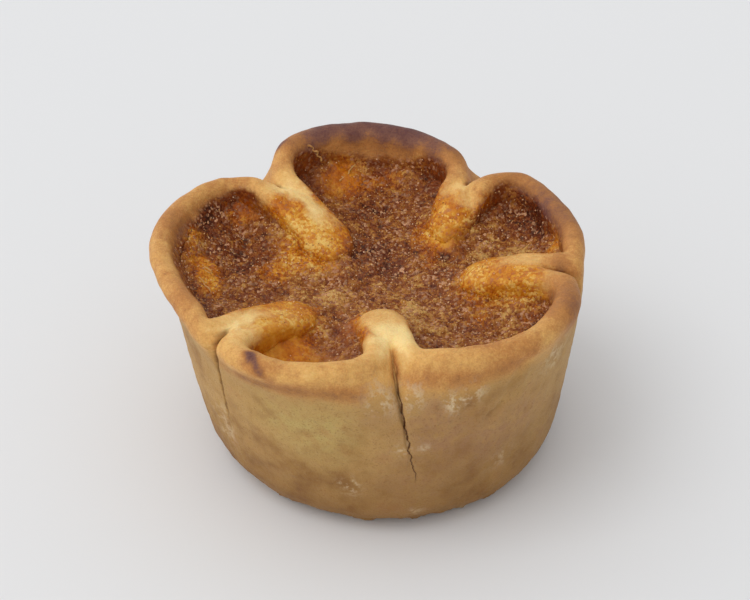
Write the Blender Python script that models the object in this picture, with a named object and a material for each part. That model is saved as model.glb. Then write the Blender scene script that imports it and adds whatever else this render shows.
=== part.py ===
"""Butter tart: a pastry sheet pleated five times into a muffin cup, with a baked sugar filling.

Row frame: the origin is the centre of the flat base, +Z is up, and -Y is the front.
"""

import math
from collections import namedtuple

import bmesh
import bpy
import numpy as np
from mathutils import Vector, geometry, noise

MM = 0.001

# The pastry sheet, rolled over at the rim, and the floor under the filling.
RIDGE_HALF_WIDTH = 4.2 * MM
SEAM_GAP = 0.5 * MM
FLOOR_THICKNESS = 4.6 * MM

# The cup as the muffin tin formed it: the outside radius at each height.
WALL_HEIGHTS = np.array([0.0, 0.7, 2.2, 5.0, 12.0, 20.0, 28.0, 34.0]) * MM
WALL_RADII = np.array([24.6, 26.6, 28.3, 29.9, 31.2, 32.3, 33.2, 33.6]) * MM
# The cup leans a little to the left. The rim's reaches are measured from the rim's own centre.
LEAN = -0.8 * MM
LEAN_HEIGHTS = np.array([2.0, 14.0]) * MM
RIM_CENTRE = np.array([-0.5, 0.0]) * MM

# The rolled lip at the rim. On a fused pleat the top rolls less to the seam and more to the nose.
LIP_ROUND = 2.2 * MM
LIP_STEPS = 6
FUSED_OUTER_ROLL = 0.4
FUSED_INNER_ROLL = 1.0
NOTCH_DIP = 0.6 * MM

# Under the lip the lobes draw back into the round of the tin, and each seam gets shallower and
# narrower, then spreads to nothing. At each depth below the crest the outside is this round.
WALL_DEPTHS = np.array([2.2, 3.3, 4.8, 7.2, 11.0, 17.5, 25.0]) * MM
WALL_ROUNDNESS = (0.0, 0.2, 0.55, 0.82, 0.91, 0.965, 1.0)
SEAM_HALF_WIDTH = 0.35 * MM
SEAM_FOOT_HALF_WIDTH = 2.4 * MM
SLANT_REACH = math.radians(20.0)
WALL_SHEET = 4.0 * MM

# A pleat folds the sheet inwards, from a notch in the rim to a nose inside the cup. At its mouth the
# shoulders stand out from the notch by the rise and are spread apart. The seam is the open part of
# the fold, the drop is how far the nose lies below the rim, and the slant turns the foot of the seam.
Pleat = namedtuple("Pleat", "name notch nose rise spread seam drop slant")
PLEATS = (
    Pleat("front", (1.2, -26.0), (-1.0, -10.6), 3.2, 2.8, 3.0, 2.6, 7.0),
    Pleat("right", (31.2, -5.4), (12.2, 0.6), 0.5, 1.8, 6.0, 4.2, -2.0),
    Pleat("back_right", (15.0, 20.6), (9.1, 10.6), 3.4, 2.4, 3.0, 5.0, 2.0),
    Pleat("back_left", (-20.0, 20.8), (-6.4, 5.8), 2.0, 2.2, 4.0, 5.0, 3.0),
    Pleat("front_left", (-26.8, -22.5), (-11.6, -8.3), 1.0, 2.2, 3.0, 3.8, 0.0),
)

# A lobe stands between its pleat and the next one, anticlockwise from above. Its reaches are those
# of its crest from the rim's centre, at even bearings. The sheet is its thickness at the rim.
Lobe = namedtuple("Lobe", "name reaches crest sheet")
LOBES = (
    Lobe("front_right", (28.3, 30.3, 32.0, 32.6, 32.0), 36.6, 4.4),
    Lobe("right", (31.6, 32.0, 31.7, 31.4, 31.2), 36.8, 3.9),
    Lobe("back", (28.9, 31.6, 33.7, 34.1, 32.3), 37.9, 5.0),
    Lobe("left", (33.5, 36.0, 36.5, 34.9, 33.8), 36.6, 4.0),
    Lobe("front_left", (34.4, 34.0, 33.1, 31.7, 30.2), 36.6, 4.4),
)
SHOULDER_ANGLE = math.radians(13.0)
LOBE_STEPS = 3
PLEAT_STEPS = 2

# Below the lip the inner face keeps its noses, and fades into the round floor. The face starts at a
# depth below the crest, less on a nose. Each level is a height and how round the face is there.
FACE_DEPTH = 4.8 * MM
NOSE_FACE_DEPTH = 2.8 * MM
FACE_ROUNDNESS = -0.03
INNER_LEVELS = ((23.0 * MM, 0.05), (17.5 * MM, 0.25), (12.0 * MM, 0.5), (7.0 * MM, 0.85))
EASING_PASSES = 3
INNER_FLOOR_RADIUS = 21.5 * MM
INNER_CORNER_RADIUS = 24.5 * MM

# The filling stands below the rim and climbs a little where it meets the pastry.
FILLING_GAP = 0.35 * MM
FILLING_LEVEL = 28.2 * MM
FILLING_CLIMB = 3.6 * MM
CLIMB_REACH = 3.8 * MM
CLIMB_NOISE_SCALE = 9.0 * MM
FACE_MARGIN = 0.1 * MM
RELIEF_PITCH = 1.8 * MM
RELIEF_ROW = RELIEF_PITCH * math.sqrt(0.75)
EDGE_CLEARANCE = 1.1 * MM
RELIEF_HEIGHT = 0.55 * MM
RELIEF_SCALE = 5.5 * MM
RELIEF_SEED = Vector((3.7, 1.2, 8.1))

PASTRY_COLOUR = (0.56, 0.33, 0.13, 1.0)
FILLING_COLOUR = (0.25, 0.09, 0.03, 1.0)


def clear_scene():
    for item in list(bpy.data.objects):
        bpy.data.objects.remove(item, do_unlink=True)


def material(name, colour, roughness):
    made = bpy.data.materials.new(name)
    made.use_nodes = True
    shader = made.node_tree.nodes["Principled BSDF"]
    shader.inputs["Base Color"].default_value = colour
    shader.inputs["Roughness"].default_value = roughness
    shader.inputs["Metallic"].default_value = 0.0
    return made


def pleat_points(pleat, rim_height, sheet):
    """Round one pleat, in along one side and out again: its outer face, its inner face and how fused it is.

    Each outer place is along the fold, across it and how fused. Each inner one ends in its share of the drop.
    """
    notch = np.array(pleat.notch) * MM
    nose = np.array(pleat.nose) * MM
    length = np.linalg.norm(nose - notch)
    inward = (nose - notch) / length
    aside = np.array([-inward[1], inward[0]])
    rise, spread, seam, drop = (value * MM for value in (pleat.rise, pleat.spread, pleat.seam, pleat.drop))
    gap, wide = SEAM_GAP / 2, RIDGE_HALF_WIDTH
    turn = length - wide
    corner = sheet - rise
    outer = (
        (-rise, spread, 0.0),
        (0.0, gap + 0.5 * MM, 0.0),
        (0.45 * seam, gap, 0.3),
        (0.8 * seam, gap, 0.7),
        (seam - 0.7 * gap, 0.7 * gap, 1.0),
        (seam, 0.0, 1.0),
    )
    inner = (
        (corner, max(wide, spread) + 0.3 * MM, 0.0),
        (corner + 3.0 * MM, wide, 0.10),
        ((corner + 3.0 * MM + turn) / 2, wide, 0.40),
        (turn, wide, 0.85),
        (turn + math.sqrt(0.5) * wide, math.sqrt(0.5) * wide, 0.95),
        (length, 0.0, 1.0),
    )
    points = []
    for side in (1, -1):
        half = []
        for (along_out, across_out, fused), (along_in, across_in, fall) in zip(outer, inner):
            x, y = notch + inward * along_out + aside * across_out * side
            u, v = notch + inward * along_in + aside * across_in * side
            half.append((x, y, rim_height, u, v, rim_height - fall * drop, fused))
        points += half if side == 1 else half[-2::-1]
    return points


def bearing(place):
    return math.atan2(place[1] - RIM_CENTRE[1], place[0] - RIM_CENTRE[0])


def lobe_points(lobe, start, end):
    """The outer and inner faces of one lobe at its crest, between the notches at its two ends."""
    first = bearing(np.array(start) * MM) + SHOULDER_ANGLE
    span = (bearing(np.array(end) * MM) - SHOULDER_ANGLE - first) % math.tau
    points = []
    for angle, reach in zip(np.linspace(first, first + span, len(lobe.reaches)), lobe.reaches):
        ray = np.array([math.cos(angle), math.sin(angle)])
        x, y = RIM_CENTRE + ray * (reach + lobe.sheet / 2) * MM
        u, v = RIM_CENTRE + ray * (reach - lobe.sheet / 2) * MM
        points.append((x, y, lobe.crest * MM, u, v, lobe.crest * MM, 0.0))
    return points


def spline(points, steps):
    """A closed centripetal spline through the points, with a number of steps for each piece of it."""
    points = np.array(points)
    count = len(points)
    gaps = np.sqrt(np.linalg.norm(np.roll(points, -1, 0)[:, :3] - points[:, :3], axis=1))
    slopes = np.empty_like(points)
    for i in range(count):
        before, after = points[i - 1], points[(i + 1) % count]
        left, right = gaps[i - 1], gaps[i]
        slopes[i] = (points[i] - before) / left + (after - points[i]) / right
        slopes[i] -= (after - before) / (left + right)
    places = []
    for i in range(count):
        a, b = points[i], points[(i + 1) % count]
        u, v = slopes[i] * gaps[i], slopes[(i + 1) % count] * gaps[i]
        for k in range(steps[i]):
            t = k / steps[i]
            places.append((2 * t**3 - 3 * t**2 + 1) * a + (t**3 - 2 * t**2 + t) * u
                          + (3 * t**2 - 2 * t**3) * b + (t**3 - t**2) * v)
    return np.array(places)


def rim():
    """The rim's outer and inner faces at crest height, how fused the sheet is, and each point's pleat."""
    points, steps, owner = [], [], []
    for i, (pleat, lobe) in enumerate(zip(PLEATS, LOBES)):
        following = PLEATS[(i + 1) % len(PLEATS)]
        rim_height = ((LOBES[i - 1].crest + lobe.crest) / 2) * MM - NOTCH_DIP
        folded = pleat_points(pleat, rim_height, (LOBES[i - 1].sheet + lobe.sheet) / 2 * MM)
        rounded = lobe_points(lobe, pleat.notch, following.notch)
        points += folded + rounded
        steps += [PLEAT_STEPS] * (len(folded) - 1) + [LOBE_STEPS] * (len(rounded) + 1)
        owner += [i] * (PLEAT_STEPS * (len(folded) - 1) + 1)
        owner += [-1] * (LOBE_STEPS * (len(rounded) + 1) - 1)
    places = np.array(points)
    outer = spline(places[:, [0, 1, 2, 6]], steps)
    inner = spline(places[:, [3, 4, 5]], steps)
    return outer[:, :3], inner, np.clip(outer[:, 3], 0, 1), np.array(owner)


OUTER, INNER, FUSED, PLEAT_OF = rim()


def wall_radius(height):
    return np.interp(height, WALL_HEIGHTS, WALL_RADII)


def wall_bearings(turned, half_width):
    """The bearing of each rim point on the round wall. A pleat's points lie side by side in its seam."""
    outside = OUTER[:, :2] - RIM_CENTRE
    found = np.arctan2(outside[:, 1], outside[:, 0])
    half = half_width / WALL_RADII[-1]
    slanted = np.zeros(len(OUTER))
    for i, pleat in enumerate(PLEATS):
        centre = bearing(np.array(pleat.notch) * MM)
        mine = PLEAT_OF == i
        found[mine] = centre + np.linspace(-half, half, mine.sum())
        apart = (found - centre + math.pi) % math.tau - math.pi
        slanted += math.radians(pleat.slant) * np.exp(-((apart / SLANT_REACH) ** 2))
    return found + slanted * turned


def circle(turned, radii, heights, half_width=SEAM_FOOT_HALF_WIDTH):
    """A place on the round wall for each rim point. The seams have turned by that share of their slants."""
    angles = wall_bearings(turned, half_width)
    lean = np.interp(heights, LEAN_HEIGHTS, (0.0, LEAN))
    return np.stack([lean + np.cos(angles) * radii, np.sin(angles) * radii], axis=1)


def outer_plan(heights):
    """The outside of the cup in plan, at a height for each point."""
    depths = OUTER[:, 2] - heights
    roundness = np.interp(depths, WALL_DEPTHS, WALL_ROUNDNESS)[:, None]
    turned = np.clip(depths / WALL_DEPTHS[-1], 0, 1)
    half_width = np.interp(depths.max(), WALL_DEPTHS[-2:], (SEAM_HALF_WIDTH, SEAM_FOOT_HALF_WIDTH))
    tin = circle(turned, wall_radius(heights), heights, half_width)
    return OUTER[:, :2] + (tin - OUTER[:, :2]) * roundness


def outer_ring(depth):
    heights = OUTER[:, 2] - depth
    return np.column_stack([outer_plan(heights), heights])


def round_ring(height, radius):
    """A plain circle of the cup's underside, with its points under those of the wall."""
    return np.column_stack([circle(1.0, radius, height), np.full(len(OUTER), height)])


def lip_rings():
    """The rounded top of the sheet, from its outer side over the crest to its inner side."""
    for k in range(LIP_STEPS + 1):
        angle = math.pi * k / LIP_STEPS
        share = (1 - math.cos(angle)) / 2
        middle = OUTER + (INNER - OUTER) * share
        roll = FUSED_OUTER_ROLL if share < 0.5 else FUSED_INNER_ROLL
        rounding = LIP_ROUND * (1 + FUSED * (roll - 1))
        yield np.column_stack([middle[:, :2], middle[:, 2] - rounding * (1 - math.sin(angle))])


def inner_plan(inset):
    """The inner face in plan with its corners eased, moved into the cup by the inset."""
    plan = INNER[:, :2]
    for _ in range(EASING_PASSES):
        plan = plan / 2 + (np.roll(plan, -1, 0) + np.roll(plan, 1, 0)) / 4
    run = np.roll(plan, -1, 0) - np.roll(plan, 1, 0)
    inwards = np.stack([-run[:, 1], run[:, 0]], axis=1) / np.hypot(run[:, 0], run[:, 1])[:, None]
    return plan + inwards * inset


def inner_ring(heights, roundness, radius, inset):
    """The inside of the cup, within the wall, with the noses of the pleats fading as it gets rounder."""
    plan = inner_plan(inset) - RIM_CENTRE
    limit = np.linalg.norm(outer_plan(heights) - RIM_CENTRE, axis=1) - WALL_SHEET - inset
    free = np.flatnonzero(PLEAT_OF < 0)
    limit = np.interp(np.arange(len(limit)), free, limit[free], period=len(limit))
    plan = RIM_CENTRE + plan * np.minimum(1, limit / np.linalg.norm(plan, axis=1))[:, None]
    return np.column_stack([plan + (circle(0.5, radius - inset, heights) - plan) * roundness, heights])


def inner_rings(inset=0.0):
    depths = FACE_DEPTH + (NOSE_FACE_DEPTH - FACE_DEPTH) * FUSED
    yield inner_ring(INNER[:, 2] - depths, FACE_ROUNDNESS, INNER_CORNER_RADIUS, inset)
    for height, roundness in INNER_LEVELS:
        yield inner_ring(np.full(len(INNER), height), roundness, INNER_CORNER_RADIUS, inset)
    yield inner_ring(np.full(len(INNER), FLOOR_THICKNESS + inset), 1.0, INNER_FLOOR_RADIUS, inset)


def loft(name, rings, look, top=None):
    """A closed solid through rings of equal counts. Its ends are fans, or the given top at the first ring."""
    mesh = bpy.data.meshes.new(name)
    shape = bmesh.new()
    loops = [[shape.verts.new(place) for place in ring] for ring in rings]
    pairs = list(zip(range(len(loops[0])), [*range(1, len(loops[0])), 0]))
    for above, below in zip(loops, loops[1:]):
        for i, j in pairs:
            shape.faces.new((above[i], above[j], below[j]))
            shape.faces.new((above[i], below[j], below[i]))
    for loop, ring in [(loops[-1], rings[-1])] if top else [(loops[0], rings[0]), (loops[-1], rings[-1])]:
        middle = shape.verts.new(ring.mean(0))
        for i, j in pairs:
            shape.faces.new((loop[i], loop[j], middle))
    if top:
        places, triangles = top
        corners = loops[0] + [shape.verts.new(place) for place in places[len(loops[0]):]]
        for triangle in triangles:
            shape.faces.new([corners[i] for i in triangle])
    bmesh.ops.recalc_face_normals(shape, faces=shape.faces)
    shape.to_mesh(mesh)
    shape.free()
    mesh.materials.append(look)
    mesh.shade_smooth()
    return bpy.data.objects.new(name, mesh)


def pastry_cup(look):
    outside = [round_ring(height, radius) for height, radius in zip(WALL_HEIGHTS[:4], WALL_RADII[:4])]
    outside += [outer_ring(depth) for depth in WALL_DEPTHS[:0:-1]]
    return loft("pastry_cup", outside + list(lip_rings()) + list(inner_rings()), look)


def filling_edge():
    """The filling's top edge, on the inner face of the cup less the gap."""
    rings = list(inner_rings(FILLING_GAP))
    upper, lower = rings[0], rings[1]
    climb = np.array([noise.noise(Vector((x, y, 0)) / CLIMB_NOISE_SCALE + RELIEF_SEED) for x, y, _ in INNER])
    height = FILLING_LEVEL + FILLING_CLIMB * (1 + 0.5 * climb)
    height = np.minimum(height, upper[:, 2] - FACE_MARGIN)
    share = ((height - lower[:, 2]) / (upper[:, 2] - lower[:, 2]))[:, None]
    return lower + (upper - lower) * share


def filling_top(edge):
    """The lumpy top of the filling: the edge's points, then inner points, and the triangles between them."""
    outline = edge[:, :2]
    low, high = outline.min(0), outline.max(0)
    inner = []
    for row in range(int((high[1] - low[1]) / RELIEF_ROW) + 2):
        y = low[1] + row * RELIEF_ROW
        for column in range(int((high[0] - low[0]) / RELIEF_PITCH) + 2):
            x = low[0] + (column + 0.5 * (row % 2)) * RELIEF_PITCH
            nearest, inside, height = nearest_edge(edge, np.array([x, y]))
            if inside and nearest > EDGE_CLEARANCE:
                climb = (height - FILLING_LEVEL) * math.exp(-nearest / CLIMB_REACH)
                lump = noise.fractal(Vector((x, y, 0)) / RELIEF_SCALE + RELIEF_SEED, 0.8, 2.0, 3)
                inner.append((x, y, FILLING_LEVEL + climb + RELIEF_HEIGHT * lump))
    places = np.vstack([edge, np.array(inner)])
    loop = [list(range(len(edge)))]
    flat = [Vector((x / MM, y / MM)) for x, y, _ in places]
    _, _, triangles, origins, _, _ = geometry.delaunay_2d_cdt(flat, [], loop, 1, 1e-6)
    names = [origin[0] for origin in origins]
    return places, [[names[i] for i in triangle] for triangle in triangles]


def nearest_edge(edge, place):
    """How far a place is from the closed edge in plan, whether it is inside, and the edge's height there."""
    a, b = edge, np.roll(edge, -1, 0)
    run = (b - a)[:, :2]
    share = np.clip(((place - a[:, :2]) * run).sum(1) / (run**2).sum(1), 0, 1)
    foot = a + (b - a) * share[:, None]
    far = np.linalg.norm(foot[:, :2] - place, axis=1)
    crossed = (a[:, 1] > place[1]) != (b[:, 1] > place[1])
    at = a[crossed, 0] + (place[1] - a[crossed, 1]) / run[crossed, 1] * run[crossed, 0]
    return far.min(), bool((at > place[0]).sum() % 2), foot[far.argmin(), 2]


def sugar_filling(look):
    edge = filling_edge()
    sides = list(inner_rings(FILLING_GAP))[1:]
    return loft("sugar_filling", [edge] + sides, look, filling_top(edge))


def main():
    clear_scene()
    tart = bpy.data.collections.new("butter_tart")
    bpy.context.scene.collection.children.link(tart)
    tart.objects.link(pastry_cup(material("baked_pastry", PASTRY_COLOUR, 0.6)))
    tart.objects.link(sugar_filling(material("browned_filling", FILLING_COLOUR, 0.45)))


if __name__ == "__main__":
    main()
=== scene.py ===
# Butter tart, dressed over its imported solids. Lengths are in metres, and mm turns millimetres into them.
# +X is right, -Y is the front and +Z is up, as in the frame.
import math

import bpy
import numpy as np
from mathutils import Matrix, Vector, noise
from mathutils.kdtree import KDTree


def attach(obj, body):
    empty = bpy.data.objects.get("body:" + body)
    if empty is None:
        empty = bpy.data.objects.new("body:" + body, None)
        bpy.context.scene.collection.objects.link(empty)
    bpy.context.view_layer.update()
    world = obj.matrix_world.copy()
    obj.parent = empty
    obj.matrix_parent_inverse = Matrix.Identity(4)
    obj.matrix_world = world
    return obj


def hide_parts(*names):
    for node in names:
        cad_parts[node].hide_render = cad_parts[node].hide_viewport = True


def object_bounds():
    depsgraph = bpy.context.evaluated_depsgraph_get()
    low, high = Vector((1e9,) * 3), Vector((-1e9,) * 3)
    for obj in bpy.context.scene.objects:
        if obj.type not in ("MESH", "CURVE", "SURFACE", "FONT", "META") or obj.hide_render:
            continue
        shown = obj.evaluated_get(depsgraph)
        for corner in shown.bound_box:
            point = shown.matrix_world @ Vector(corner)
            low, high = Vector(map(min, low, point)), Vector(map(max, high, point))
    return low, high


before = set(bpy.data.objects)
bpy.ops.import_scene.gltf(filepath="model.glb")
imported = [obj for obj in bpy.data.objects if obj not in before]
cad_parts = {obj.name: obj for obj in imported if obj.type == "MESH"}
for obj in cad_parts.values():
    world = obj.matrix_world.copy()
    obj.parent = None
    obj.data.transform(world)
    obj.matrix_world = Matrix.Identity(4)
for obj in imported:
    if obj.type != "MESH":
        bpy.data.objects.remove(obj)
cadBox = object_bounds()
mm = 0.001
print("frame loaded:", sorted(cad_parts))

# The camera looks along +Y and down at the tart, at the photograph's angle.
view = {"target": (-1.6, -2.2, 26.9), "distance": 363.0, "down": 38.0, "lens": 105.6, "sensor": 36,
        "clip": (0.01, 10)}


def makeCamera():
    bpy.ops.object.camera_add()
    camera = bpy.context.object
    camera.name = "tartCamera"
    down = math.radians(view["down"])
    back = Vector((0, -math.cos(down), math.sin(down)))
    camera.location = (Vector(view["target"]) + back * view["distance"]) * mm
    camera.rotation_euler = (math.radians(90 - view["down"]), 0, 0)
    camera.data.lens = view["lens"]
    camera.data.sensor_width = view["sensor"]
    camera.data.clip_start, camera.data.clip_end = view["clip"]
    bpy.context.scene.camera = camera


makeCamera()

# Where the sheet is folded, in mm: each pleat's notch in the rim and its nose inside the cup. Its outside
# seam turns by some degrees on the way down, and its fold is open as far in as seam says. Sugar covers a
# pleat beyond the bare widths left and right of its middle, and all of it past tip, a share of its length.
pleats = {
    "front": {"notch": (1.2, -26.0), "nose": (-1.0, -10.6), "turn": 7.0, "seam": 3.0,
              "bare": (3.0, 3.6), "tip": 0.90},
    "right": {"notch": (31.2, -5.4), "nose": (12.2, 0.6), "turn": -2.0, "seam": 6.0,
              "bare": (0.0, 3.0), "tip": 0.66},
    "backRight": {"notch": (15.0, 20.6), "nose": (9.1, 10.6), "turn": 2.0, "seam": 3.0,
                  "bare": (2.8, 2.8), "tip": 0.50},
    "backLeft": {"notch": (-20.0, 20.8), "nose": (-6.4, 5.8), "turn": 3.0, "seam": 4.0,
                 "bare": (2.8, 0.2), "tip": 0.72},
    "frontLeft": {"notch": (-26.8, -22.5), "nose": (-11.6, -8.3), "turn": 0.0, "seam": 3.0,
                  "bare": (2.6, 0.2), "tip": 0.56},
}
# the wall's middle lies at lean along X, and its seams run down from the rim by seamDrop, all in mm
cup = {"lean": -0.8, "wallRadius": 33.2, "rimHeight": 36.5, "seamDrop": 25.0, "fillingHeight": 28.4}

# Sugar boiled over the filling and up the inside of the cup, and browned unevenly. These places are
# darker, paler, more amber or smoother, on the filling and the crust alike: x, y, z, reach and
# strength, in mm. Drift and unevenness are an amount and the size of its lumps.
sugar = {
    "brownness": 0.55, "drift": (0.12, 6.0), "unevenness": (1.2, 3.0),
    "flankEdge": (-1.0, 1.6), "flankStart": (0.16, 0.40), "tipEdge": (-0.20, 0.16),
    "dark": {
        "left patch": (-30.3, 12.9, 32.9, 3.4, 0.50), "left pocket": (-23.7, 17.8, 32.5, 3.0, 0.22),
        "left wall": (-33.2, 4, 33.6, 3.4, 0.16), "left wall front": (-29.5, -11, 33.0, 4, 0.24),
        "left": (-24.8, 6.7, 28.6, 4.5, 0.26), "back pocket": (-15.5, 26.0, 33.2, 3.2, 0.24),
        "back right": (10.5, 24.5, 31.5, 4.2, 0.34), "back": (-1.6, 19.5, 28.4, 5, 0.16),
        "centre": (-2.4, 6.9, 28.4, 6, 0.26), "right black": (25.4, 14, 32.5, 4.0, 0.54),
        "red corner": (17.5, 17.2, 34.0, 2.6, 0.32),
        # foot: painted shade in the hole at the foot of the back right pleat
        "foot": (10.5, 7.4, 28.4, 1.1, 0.9), "front left": (-5.0, -15.5, 28.6, 3.6, 0.20),
        "right front": (25, -13.5, 30.5, 3.6, 0.22), "left foot": (-27.5, 1.5, 29.0, 2.0, 0.12),
        "by right nose": (8.5, 2.5, 28.4, 3.0, 0.12), "back wall": (-1.5, 29.0, 31.0, 2.6, 0.10),
    },
    "pale": {
        "left wall back": (-31.6, 8.0, 31.6, 2.6, 0.16), "left wall middle": (-30.4, 1.5, 30.8, 2.8, 0.18),
        "front middle": (7.3, -11.1, 28.8, 3.6, 0.32), "middle": (-6.5, -4.5, 28.7, 4.0, 0.24),
        "inner": (2.5, 0, 28.3, 3.5, 0.12), "by front nose": (3.0, -7.5, 29, 3, 0.18),
        "left front": (-13, -2.5, 28.6, 4.0, 0.12), "front right": (14, -17, 29, 4.5, 0.12),
        "front left lobe": (-8.5, -22.5, 29.5, 4.5, 0.26), "pool": (-17.0, -19.5, 31.5, 3.4, 0.12),
        "right flank": (21.0, -6.6, 33.0, 4.2, 0.22), "right shoulder": (27.0, -9.5, 34.5, 3.0, 0.26),
        "left flank": (-14.0, 9.0, 32.0, 4.6, 0.34), "left nose": (-8.0, 6.8, 30.8, 3.4, 0.24),
        "back right nose": (9.8, 12.5, 31.5, 4.0, 0.26), "front left flank": (-17.0, -15.5, 33.3, 4.2, 0.28),
        "front tip": (-1.0, -12.0, 32.5, 4.0, 0.38), "right tip": (14, 0, 31.5, 3.4, 0.16),
        "right lobe end": (22.0, 6.5, 29.2, 4.0, 0.24), "right lobe": (18, 9, 28.8, 3.5, 0.18),
    },
    "amber": {
        "left wall back": (-32.0, 8.0, 32.0, 3.0, 0.7), "left wall middle": (-30.6, 2.3, 30.8, 3.2, 0.7),
        "left wall front": (-29.0, -4.0, 30.2, 2.6, 0.6), "back right": (9.5, 24.5, 32.5, 3.4, 0.5),
        "back pocket": (-15.0, 26.0, 33.0, 3.6, 0.5), "right black": (25.4, 14, 32.5, 4.0, 0.45),
        "left pleat": (-13.0, 7.0, 31.0, 6.0, 1.0), "front left lobe": (-16.5, -18.5, 31.0, 6.0, 1.3),
        "front left nose": (-12.5, -9.5, 30.5, 3.6, 0.7), "back": (-6.5, 27.0, 30.6, 4.6, 0.9),
        "back middle": (1.5, 27.5, 30.6, 3.0, 0.5), "red": (15.1, -9.3, 28.4, 2.6, 0.45),
        "red back": (7.6, 5.4, 28.4, 2.4, 0.4), "left wall": (-28.5, 0.0, 30.2, 3.2, 0.7),
        "left pocket": (-24.0, 16.5, 31.5, 3.2, 0.8), "right nose": (15.0, -2.5, 31.0, 5.0, 0.8),
        "right flank": (23.5, -6.2, 33.0, 4.6, 0.8), "back right nose": (8.8, 12.2, 30.8, 4.6, 1.0),
        "right wall": (28.7, 5.9, 32.4, 2.6, 0.9), "front nose": (-2.0, -13.0, 32.0, 5.0, 0.9),
        "front right edge": (16, -20.5, 31.5, 5, 0.4), "right corner": (18.3, 16.6, 33.5, 2.6, 0.5),
        "pool": (-17.5, -19.8, 32.0, 3.6, 1.2), "left middle": (-19, 2, 29, 3.0, 0.5),
        "left low": (-21, -6.5, 29, 2.6, 0.35), "inner front": (4, -6, 29, 2.5, 0.3),
    },
    "smooth": {
        "back pocket": (-14.5, 26.5, 33.0, 3.0, 0.7), "back right": (9.5, 24.5, 32.5, 3.2, 0.6),
        "back wall": (0.5, 29.5, 32.0, 2.8, 0.5),
        "pool": (-17.5, -19.0, 32.0, 5.5, 1.0), "front left lobe": (-9.5, -20.5, 29.0, 5.0, 0.6),
        "front nose": (-3.6, -14.5, 31.0, 3.4, 0.8), "back": (-7.5, 27.0, 30.8, 4.2, 0.8),
        "back right nose": (10.2, 9.8, 30.0, 2.6, 0.9), "right corner": (18.8, 17.2, 33.6, 2.6, 0.8),
        "left pocket": (-23.2, 16.6, 33.0, 2.8, 0.8), "right wall": (28.8, 4.2, 33.0, 2.4, 0.6),
        "left nose": (-9.0, 3.6, 29.5, 2.6, 0.5), "left wall": (-30.4, 1.0, 30.7, 2.4, 0.5),
    },
}


def selectOnly(piece):
    bpy.ops.object.select_all(action="DESELECT")
    piece.select_set(True)
    bpy.context.view_layer.objects.active = piece


def applyModifiers(piece):
    selectOnly(piece)
    for modifier in list(piece.modifiers):
        bpy.ops.object.modifier_apply(modifier=modifier.name)


def copyOfSolid(node, name):
    # a copy of the CAD solid, merged back into one skin
    selectOnly(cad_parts[node])
    bpy.ops.object.duplicate()
    piece = bpy.context.object
    piece.name = piece.data.name = name
    piece.parent = None
    for key in [key for key in piece.keys() if key.startswith("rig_")]:
        del piece[key]
    piece.data.materials.clear()
    selectOnly(piece)
    bpy.ops.object.mode_set(mode="EDIT")
    bpy.ops.mesh.select_all(action="SELECT")
    bpy.ops.mesh.remove_doubles(threshold=0.01 * mm)
    bpy.ops.object.mode_set(mode="OBJECT")
    return piece


def points(piece):
    places = np.empty(len(piece.data.vertices) * 3, np.float32)
    piece.data.vertices.foreach_get("co", places)
    return places.reshape(-1, 3) / mm


def normals(piece):
    found = np.empty(len(piece.data.vertices) * 3, np.float32)
    piece.data.vertex_normals.foreach_get("vector", found)
    return found.reshape(-1, 3)


def movePoints(piece, places):
    piece.data.vertices.foreach_set("co", (places * mm).astype(np.float32).ravel())
    piece.data.update()


def paint(piece, name, values):
    layer = piece.data.attributes.new(name, "FLOAT", "POINT")
    layer.data.foreach_set("value", np.clip(values, 0, 1).astype(np.float32))


def ease(value, low, high):
    share = np.clip((value - low) / (high - low), 0, 1)
    return share * share * (3 - 2 * share)


def lumps(places, size, seed, octaves=2):
    # smooth noise from about -1 to 1 at each place
    shift = Vector((seed * 3.1, seed * 1.7, seed * 2.3))
    values = [noise.fractal(Vector(place) / size + shift, 1.0, 2.0, octaves) for place in places.tolist()]
    return np.array(values)


def bent(places, amount, size, seed):
    # the places moved about by noise, so that round marks come out uneven
    return places + amount * np.column_stack([lumps(places, size, seed + i) for i in range(3)])


def spots(places, marks):
    # soft marks: x, y, z, reach and strength of each, in mm
    total = np.zeros(len(places))
    for x, y, z, reach, strength in marks.values():
        far = ((places - (x, y, z)) ** 2).sum(1)
        total += strength * np.exp(-far / reach ** 2)
    return total


def bands(places, marks):
    # soft stripes: both ends, reach and strength of each
    total = np.zeros(len(places))
    for start, end, reach, strength in marks.values():
        run = np.subtract(end, start)
        share = np.clip((places - start) @ run / (run @ run), 0, 1)
        far = ((places - start - share[:, None] * run) ** 2).sum(1)
        total = np.maximum(total, strength * np.exp(-far / reach ** 2))
    return total


def nearestOnPlan(places, chosen):
    # for each place, seen from above: which chosen point is nearest, and how far away it is
    tree = KDTree(len(chosen))
    for i in chosen:
        tree.insert((places[i, 0], places[i, 1], 0), int(i))
    tree.balance()
    found = [tree.find((x, y, 0))[1:] for x, y, _ in places.tolist()]
    nearest, far = (np.array(column) for column in zip(*found))
    return nearest, far


def sugarLook(places):
    # how brown, how amber and how smooth the sugar is at each place
    uneven = bent(places, *sugar["unevenness"], 30)
    amount, size = sugar["drift"]
    tone = sugar["brownness"] + spots(uneven, sugar["dark"]) - spots(uneven, sugar["pale"])
    tone += amount * lumps(places, size, 11)
    return tone, spots(uneven, sugar["amber"]), np.clip(spots(uneven, sugar["smooth"]), 0, 1)


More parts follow.
